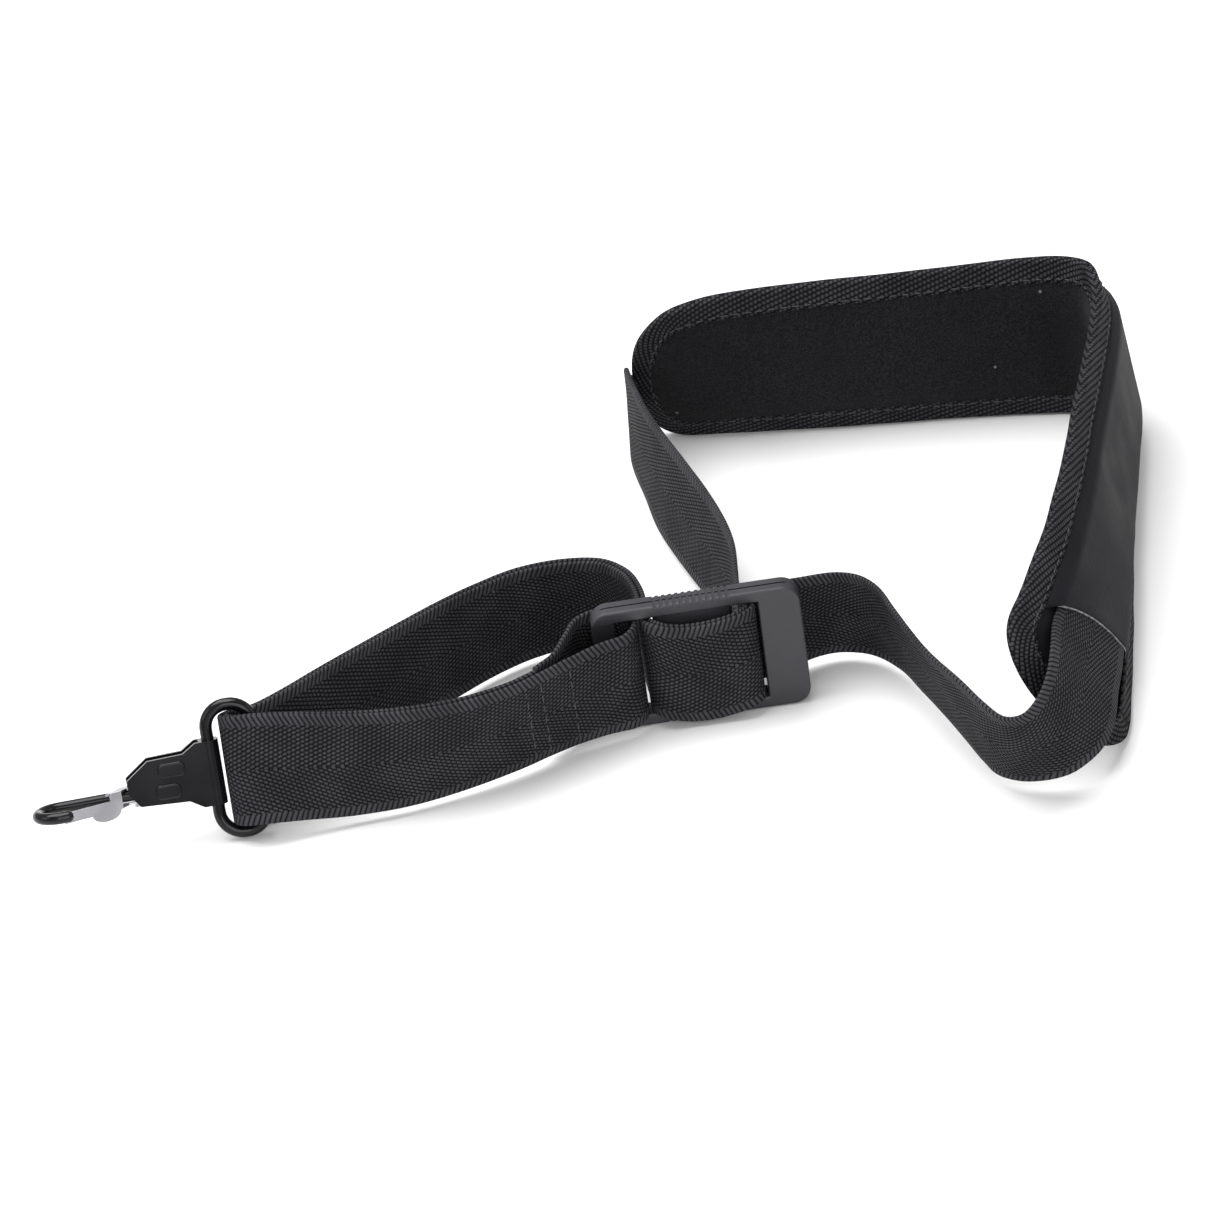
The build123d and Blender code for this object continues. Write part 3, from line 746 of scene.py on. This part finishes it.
class StrapWebs(bpy.types.Operator):
    """Weaves every run of webbing between the pad, the slider and the ring"""
    bl_idname = "strap.webs"
    bl_label = "Webbing"

    def execute(self, context):
        finish = web_finish()
        far = make_web(
            "far_web", Route(FAR_WEB_ROUTE, 0.9), finish, wobble=0.2, seed=1.0, gather=0.6, pinch=17.5)
        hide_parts("web_left")
        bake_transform(far)

        near = make_web("near_web", Route(NEAR_WEB_ROUTE, 0.9), finish, wobble=0.2, seed=2.3)
        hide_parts("web_right", "web_in_pad")
        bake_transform(near)

        front = make_web("lower_web_front", Route(LOWER_ROUTE[:-1] + TAIL_ROUTE, 0.8), finish, 0.0, 0.1, 0.4)
        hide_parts("lower_web_outer", "tail_web")
        back = make_web("lower_web_back", Route(LOWER_ROUTE + SEAM_END, 0.8), finish, LAYER_PITCH, 0.1, 0.4)
        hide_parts("lower_web_inner")
        for web in (front, back):
            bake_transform(web)

        bar = Route(BAR_ROUTE, 0.6)
        for name, node, side in (
            ("bar_web_front", "bar_web_outer", 0.0), ("bar_web_back", "bar_web_inner", -LAYER_PITCH),
        ):
            web = make_web(name, bar, finish, side, 0.0)
            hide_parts(node)
            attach(web, "float_bar")

        return {"FINISHED"}


SEAM_RUNS = (3.0, 6.8, 14.2)    # millimetres along the tail from its sewn end
SEAM_PITCH = 3.0


class StrapSeam(bpy.types.Operator):
    """Sews the tail of the web down with rows of thread across it"""
    bl_idname = "strap.seam"
    bl_label = "Seam"

    def execute(self, context):
        settings = context.scene.strap_webbing
        route = Route(TAIL_ROUTE, 0.6)
        face = -settings.thickness / 2
        places = []
        for run in SEAM_RUNS:
            for across in np.arange(-9.8, 9.9, SEAM_PITCH):
                start, end = route.at(np.array([run, run]), np.array([across - 1.1, across + 1.1]), face)
                out = route.at(run, across, face - 1.0) - route.at(run, across, face)
                places.append((start, end, out))
        thread = make_stitches("seam_thread", places, finish_called("dark_thread", thread_finish))
        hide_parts("seam_stitches")
        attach(thread, "slider")
        return {"FINISHED"}


END_POWER = 2.3             # 2 would make the pad's ends elliptic, more is squarer


class PadShape:
    """The pad laid flat: how wide it is along its run, and how thick at each place."""

    def __init__(self):
        settings = bpy.context.scene.strap_pad
        self.route = Route(PAD_ROUTE, 0.9)
        self.half = settings.width / 2
        self.end = settings.end_length
        self.reach = settings.tape_reach
        self.length = self.route.length

    def half_width(self, along):
        inset = np.clip(self.end - np.minimum(along, self.length - along), 0, self.end) / self.end
        return self.half * np.power(np.clip(1 - inset ** END_POWER, 0, 1), 1 / END_POWER)

    def outline(self, inset=0.0, step=1.0):
        """Closed line round the pad, that far inside its edge: places and inward directions."""
        turn = np.radians(np.linspace(-90, 90, 61))
        power = 2 / END_POWER
        reach = np.sign(np.cos(turn)) * np.abs(np.cos(turn)) ** power * self.end
        rise = np.sign(np.sin(turn)) * np.abs(np.sin(turn)) ** power * self.half
        far = np.column_stack([self.length - self.end + reach, rise])
        near = np.column_stack([self.end - reach, rise])[::-1]
        straight = np.linspace(self.end, self.length - self.end, 100)[1:-1]
        back = np.linspace(self.length - self.end, self.end, 100)[1:-1]
        upper = np.column_stack([back, np.full(len(back), self.half)])
        lower = np.column_stack([straight, np.full(len(straight), -self.half)])
        loop = np.vstack([far, upper, near, lower])
        closed = np.vstack([loop, loop[:1]])
        run = np.concatenate([[0], np.cumsum(np.linalg.norm(np.diff(closed, axis=0), axis=1))])
        even = np.linspace(0, run[-1], int(run[-1] / step), endpoint=False)
        places = np.stack([np.interp(even, run, closed[:, axis]) for axis in range(2)], 1)
        ahead = np.roll(places, -1, 0) - np.roll(places, 1, 0)
        ahead /= np.linalg.norm(ahead, axis=1)[:, None]
        for _ in range(3):
            ahead = (np.roll(ahead, 1, 0) + 2 * ahead + np.roll(ahead, -1, 0)) / 4
        inward = np.column_stack([-ahead[:, 1], ahead[:, 0]])
        return places + inward * inset, inward, even

    def depth(self, along, across):
        """Rough distance in from the edge."""
        ends = np.clip(self.end - np.minimum(along, self.length - along), 0, self.end)
        level = np.sqrt((ends / self.end) ** 2 + (across / self.half) ** 2)
        size = self.half + (self.end - self.half) * ends / self.end
        return np.clip(1 - level, 0, 1) * size


def lining_face(depth):
    return -(1.7 + 1.95 * ease(depth / 11))


def outer_face(depth):
    return -0.3 + 1.45 * ease(depth / 9)


class StrapPadBody(bpy.types.Operator):
    """Shapes the stuffed body of the neck pad, napped inside and leatherette outside"""
    bl_idname = "strap.pad_body"
    bl_label = "Pad body"

    def execute(self, context):
        shape = PadShape()
        along = np.concatenate([
            np.linspace(1.2, shape.end, 16)[:-1],
            np.linspace(shape.end, shape.length - shape.end, 200),
            np.linspace(shape.length - shape.end, shape.length - 1.2, 16)[1:],
        ])
        share = np.sin(np.radians(np.linspace(-90, 90, 31)))
        runs = np.repeat(along[:, None], len(share), 1)
        across = share[None, :] * (shape.half_width(along)[:, None] - 1.2)
        depth = shape.depth(runs, across)
        soft = 0.16 * np.sin(runs / 9.7) * np.cos(across / 7.9) * ease(depth / 9)
        sides = []
        for through in (outer_face(depth), lining_face(depth) + soft):
            sides.append((runs, across, through))
        rows, columns = runs.shape
        corners, lay = [], []
        for runs_, across_, through in sides:
            corners.append(shape.route.at(runs_, across_, through).reshape(-1, 3))
            lay.append(np.stack([runs_, across_, through], 2).reshape(-1, 3))
        count = rows * columns
        outer = grid_faces(rows, columns, wrap=False)
        inner = [tuple(reversed(face)) for face in grid_faces(rows, columns, wrap=False, start=count)]
        rim = [row * columns for row in range(rows)]
        rim += [(rows - 1) * columns + column for column in range(1, columns)]
        rim += [row * columns + columns - 1 for row in range(rows - 2, -1, -1)]
        rim += [column for column in range(columns - 2, 0, -1)]
        wall = [(a, b, b + count, a + count) for a, b in zip(rim, rim[1:] + rim[:1])]
        body = new_piece(
            "pad_body", np.vstack(corners), outer + inner + wall, np.vstack(lay),
            finish_called("satin_leatherette", leatherette_finish),
        )
        body.data.materials.append(finish_called("napped_lining", fleece_finish))
        for number in range(len(outer), len(outer) + len(inner)):
            body.data.polygons[number].material_index = 1
        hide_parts("pad_foam", "pad_lining")
        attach(body, "strap")
        return {"FINISHED"}


COVER_HALF = 15.2           # half width of the cover where it tucks under the tape
COVER_START = 6.0           # run at which the cover begins
MOUTH_STATION = 20          # the mouth's middle is at this station of the pad's route
MOUTH_SLOPE = 0.52          # how far the mouth slants, per millimetre across
MOUTH_BOW = 0.012           # how far it bows, per square millimetre across


class StrapPadCover(bpy.types.Operator):
    """Lays the leatherette pocket over the web, with its slanting bowed mouth"""
    bl_idname = "strap.pad_cover"
    bl_label = "Pad cover"

    def execute(self, context):
        shape = PadShape()
        web_half = context.scene.strap_webbing.width / 2
        stations = Route(PAD_ROUTE[:MOUTH_STATION + 1], 0.9)
        across = np.concatenate([[-COVER_HALF], np.linspace(-14.2, 14.2, 27), [COVER_HALF]])
        mouth = stations.length + MOUTH_SLOPE * across - MOUTH_BOW * (web_half ** 2 - across ** 2)
        share = np.linspace(0, 1, 230)
        runs = COVER_START + share[:, None] * (mouth[None, :] - COVER_START)
        wide = np.minimum(np.abs(across), shape.half_width(runs) - 2.0) * np.sign(across)
        depth = shape.depth(runs, wide)
        over = ease((web_half + 2.6 - np.abs(wide)) / 2.6)
        base = outer_face(depth)
        lift = 0.25 + 1.35 * over
        upper = base + lift + 0.75
        lower = base + lift
        edge_curl = np.clip((share[:, None] - 0.985) / 0.015, 0, 1)
        upper = upper - 0.3 * edge_curl ** 2
        rows, columns = runs.shape
        corners = np.vstack([
            shape.route.at(runs, wide, upper).reshape(-1, 3),
            shape.route.at(runs, wide, lower).reshape(-1, 3),
        ])
        count = rows * columns
        faces = grid_faces(rows, columns, wrap=False)
        faces += [tuple(reversed(face)) for face in grid_faces(rows, columns, wrap=False, start=count)]
        rim = [row * columns for row in range(rows)]
        rim += [(rows - 1) * columns + column for column in range(1, columns)]
        rim += [row * columns + columns - 1 for row in range(rows - 2, -1, -1)]
        rim += [column for column in range(columns - 2, 0, -1)]
        faces += [(a, b, b + count, a + count) for a, b in zip(rim, rim[1:] + rim[:1])]
        lay = np.vstack([np.stack([runs, wide, face], 2).reshape(-1, 3) for face in (upper, lower)])
        cover = new_piece(
            "pad_cover_leatherette", corners, faces, lay,
            finish_called("satin_leatherette", leatherette_finish),
        )
        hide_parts("pad_cover")
        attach(cover, "strap")

        lip_runs = mouth + 0.1
        inside = np.abs(across) < web_half + 1.5
        lip = shape.route.at(lip_runs[inside], across[inside], (upper - 0.1)[-1][inside])
        bead = make_bead("pocket_lip", lip, 0.24, finish_called("pocket_lip", lip_finish))
        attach(bead, "strap")
        return {"FINISHED"}


def lip_finish():
    """A lighter line along the pocket's mouth, its tone varied at random."""
    material, g, shader = new_finish("pocket_lip")
    lip_tone_noise = g.noise(place_of(g), 0.9)
    colour = g.blend(g.ramp(lip_tone_noise, 0.35, 0.65), (0.04, 0.04, 0.043, 1), (0.16, 0.16, 0.165, 1))
    g.put(shader.inputs["Base Color"], colour)
    shader.inputs["Roughness"].default_value = 0.4
    return material


def make_bead(name, line, radius, finish, sides=8):
    """A thin round edge that follows a line of points in millimetres and tapers at its ends."""
    line = smooth_line(line, 0.4)
    ahead = unit(np.gradient(line, axis=0))
    side = unit(np.cross(ahead, np.array([0.3, 0.2, 1.0])))
    over = np.cross(side, ahead)
    taper = np.clip(np.minimum(np.arange(len(line)), np.arange(len(line))[::-1]) / 4, 0.15, 1)
    turn = np.radians(np.arange(sides) * 360 / sides)
    rings = line[:, None] + radius * taper[:, None, None] * (
        side[:, None] * np.cos(turn)[None, :, None] + over[:, None] * np.sin(turn)[None, :, None])
    faces = grid_faces(len(line), sides, wrap=True)
    faces.append(tuple(range(sides))[::-1])
    faces.append(tuple(range((len(line) - 1) * sides, len(line) * sides)))
    return new_piece(name, rings.reshape(-1, 3), faces, finish=finish)


TAPE_THICK = 0.6
STITCH_INSET = 4.7
STITCH_PITCH = 2.9


class StrapPadTape(bpy.types.Operator):
    """Folds the woven tape over the pad's edge all the way round and sews it on"""
    bl_idname = "strap.pad_tape"
    bl_label = "Edge tape"

    def execute(self, context):
        shape = PadShape()
        places, inward, run = shape.outline(step=0.9)
        depth = np.array([shape.reach, 4.6, 3.4, 2.3, 1.4, 0.8, 0.45])
        inner = np.column_stack([depth, lining_face(depth) - 0.12])
        outer = np.column_stack([depth, outer_face(depth) + 0.95])
        turn = np.radians(np.linspace(-60, 60, 7))
        middle = (inner[-1, 1] + outer[-1, 1]) / 2
        half = (outer[-1, 1] - inner[-1, 1]) / 2
        nose = np.column_stack([0.45 - 0.55 * np.cos(turn), middle + half * np.sin(turn)])
        line = np.vstack([inner, nose, outer[::-1]])
        ahead = np.gradient(line, axis=0)
        ahead /= np.linalg.norm(ahead, axis=1)[:, None]
        away = np.column_stack([-ahead[:, 1], ahead[:, 0]])
        fold = np.concatenate([[0], np.cumsum(np.linalg.norm(np.diff(line, axis=0), axis=1))])
        fold -= fold[-1] / 2
        skin = np.vstack([line, (line - away * TAPE_THICK)[::-1]])
        fold = np.concatenate([fold, fold[::-1]])
        if (line - away * TAPE_THICK)[len(line) // 2, 0] < line[len(line) // 2, 0]:
            skin = np.vstack([line, (line + away * TAPE_THICK)[::-1]])
        rows, columns = len(places), len(skin)
        pucker = 0.1 * np.sin(run / 3.1)[:, None] * np.ones(columns)[None, :]
        along = places[:, 0:1] + inward[:, 0:1] * skin[None, :, 0]
        across = places[:, 1:2] + inward[:, 1:2] * skin[None, :, 0]
        through = skin[None, :, 1] + pucker * 0.5
        corners = shape.route.at(along, across, through)
        runs, folds = np.broadcast_arrays(run[:, None], fold[None, :])
        lay = np.stack([runs, folds, through], 2)
        faces = []
        for row in range(rows):
            near, far = row * columns, ((row + 1) % rows) * columns
            for column in range(columns):
                after = (column + 1) % columns
                faces.append((near + column, near + after, far + after, far + column))
        tape = new_piece("edge_tape_loop", corners.reshape(-1, 3), faces, lay.reshape(-1, 3), tape_finish())
        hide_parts("pad_binding_upper", "pad_binding_lower")
        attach(tape, "strap")

        line, inward, run = shape.outline(inset=STITCH_INSET, step=STITCH_PITCH / 2)
        depth = np.full(len(line), STITCH_INSET)
        places = []
        for face, away_side in ((lining_face(depth) - 0.22, -1.0), (outer_face(depth) + 1.05, 1.0)):
            spots = shape.route.at(line[:, 0], line[:, 1], face)
            lifted = shape.route.at(line[:, 0], line[:, 1], face + away_side)
            for number in range(0, len(line) - 1, 2):
                start, end = spots[number], spots[number + 1]
                short = (end - start) * 0.12
                places.append((start + short, end + short * 3, lifted[number] - start))
        thread = make_stitches("tape_thread", places, finish_called("dark_thread", thread_finish), 0.36)
        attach(thread, "strap")
        return {"FINISHED"}


class StrapHardwareFinish(bpy.types.Operator):
    """Gives the slider, ring, hook and gate their moulded, enamelled and bright finishes"""
    bl_idname = "strap.hardware_finish"
    bl_label = "Hardware"

    def execute(self, context):
        moulding = finish_called("matt_moulding", moulded_finish)
        enamel = finish_called("gloss_enamel", enamel_finish)
        steel = finish_called("bright_steel", steel_finish)
        for finish, nodes in (
            (moulding, ("slider_frame", "slider_bar")),
            (enamel, ("ring", "hook_body", "hook_wire")),
            (steel, ("gate", "gate_pin", "gate_spring")),
        ):
            for node in nodes:
                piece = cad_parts[node]
                for place in range(len(piece.material_slots)):
                    piece.material_slots[place].material = finish
        return {"FINISHED"}


class StrapStage(bpy.types.Operator):
    """Sets the floor, the soft lights and the camera"""
    bl_idname = "strap.stage"
    bl_label = "Stage"

    def execute(self, context):
        settings = context.scene.strap_studio
        target = Vector((MIDDLE_X * MM, MIDDLE_Y * MM, 0))
        self.add_camera(context, settings, target)
        self.add_floor()
        self.add_lights(settings, target)
        self.add_world(context)
        return {"FINISHED"}

    def add_camera(self, context, settings, target):
        camera = bpy.data.objects.new("camera", bpy.data.cameras.new("camera"))
        context.scene.collection.objects.link(camera)
        view = Vector((0, math.cos(settings.elevation), -math.sin(settings.elevation)))
        right, up = Vector((1, 0, 0)), Vector((1, 0, 0)).cross(view)
        turn, tilt = math.cos(settings.roll), math.sin(settings.roll)
        across = right * turn - up * tilt
        upward = right * tilt + up * turn
        axes = Matrix((across, upward, -view)).transposed()
        camera.matrix_world = Matrix.Translation(target - view * settings.distance) @ axes.to_4x4()
        camera.data.lens = settings.lens
        camera.data.sensor_width = 36
        camera.data.clip_start = 0.01
        camera.data.clip_end = 20
        context.scene.camera = camera

    def add_floor(self):
        size = 3.0
        mesh = bpy.data.meshes.new("floor")
        corners = [(-size, -size, 0), (size, -size, 0), (size, size, 0), (-size, size, 0)]
        mesh.from_pydata(corners, [], [(0, 1, 2, 3)])
        floor = bpy.data.objects.new("floor", mesh)
        bpy.context.scene.collection.objects.link(floor)
        material, g, shader = new_finish("pale_floor")
        tone = g.noise(place_of(g), 0.004)
        g.put(shader.inputs["Base Color"], g.blend(tone, (0.86, 0.86, 0.86, 1), (0.9, 0.9, 0.9, 1)))
        shader.inputs["Roughness"].default_value = 0.7
        mesh.materials.append(material)
        floor.location.z = -0.0002

    def add_lights(self, settings, target):
        for name, place, size, power in (
            ("overhead", (-0.25, 0.15, 1.0), 0.9, settings.key_power),
            ("left", (-0.95, -0.25, 0.55), 0.5, settings.key_power * 0.1),
            ("right", (0.95, -0.1, 0.6), 0.6, settings.key_power * 0.06),
            ("front", (0.1, -1.0, 0.5), 0.7, settings.key_power * 0.3),
        ):
            lamp = bpy.data.lights.new(name, "AREA")
            lamp.energy = power
            lamp.size = size
            light = bpy.data.objects.new(name, lamp)
            bpy.context.scene.collection.objects.link(light)
            light.location = target + Vector(place)
            aim = target + Vector((0, 0, 0.02)) - light.location
            light.rotation_euler = aim.to_track_quat("-Z", "Y").to_euler()

    def add_world(self, context):
        world = bpy.data.worlds.new("studio")
        world.use_nodes = True
        background = world.node_tree.nodes["Background"]
        background.inputs["Color"].default_value = (1, 1, 1, 1)
        background.inputs["Strength"].default_value = 0.5
        context.scene.world = world
        context.scene.view_settings.view_transform = "Standard"


class StrapPanel(bpy.types.Panel):
    """Sidebar panel with the strap's settings and pieces"""
    bl_idname = "STRAP_PT_pieces"
    bl_label = "Neck strap"
    bl_space_type = "VIEW_3D"
    bl_region_type = "UI"
    bl_category = "Neck strap"

    def draw(self, context):
        for title, settings in (
            ("Webbing", context.scene.strap_webbing), ("Pad", context.scene.strap_pad),
            ("Hardware", context.scene.strap_hardware), ("Studio", context.scene.strap_studio),
        ):
            box = self.layout.box()
            box.label(text=title)
            for name in settings.__annotations__:
                box.prop(settings, name)
        for step in BUILD_STEPS:
            self.layout.operator(step.bl_idname)


BUILD_STEPS = (
    StrapStage, StrapWebs, StrapSeam, StrapPadBody, StrapPadCover, StrapPadTape, StrapHardwareFinish,
)
SETTINGS = {
    "strap_webbing": StrapWebbing, "strap_pad": StrapPad,
    "strap_hardware": StrapHardware, "strap_studio": StrapStudio,
}


def register():
    for group in (*SETTINGS.values(), *BUILD_STEPS, StrapPanel):
        bpy.utils.register_class(group)
    for name, group in SETTINGS.items():
        setattr(bpy.types.Scene, name, PointerProperty(type=group))


def unregister():
    for name in SETTINGS:
        delattr(bpy.types.Scene, name)
    for group in reversed((*SETTINGS.values(), *BUILD_STEPS, StrapPanel)):
        bpy.utils.unregister_class(group)


def main():
    register()
    for step in BUILD_STEPS:
        family, name = step.bl_idname.split(".")
        getattr(getattr(bpy.ops, family), name)()


if __name__ == "__main__":
    main()
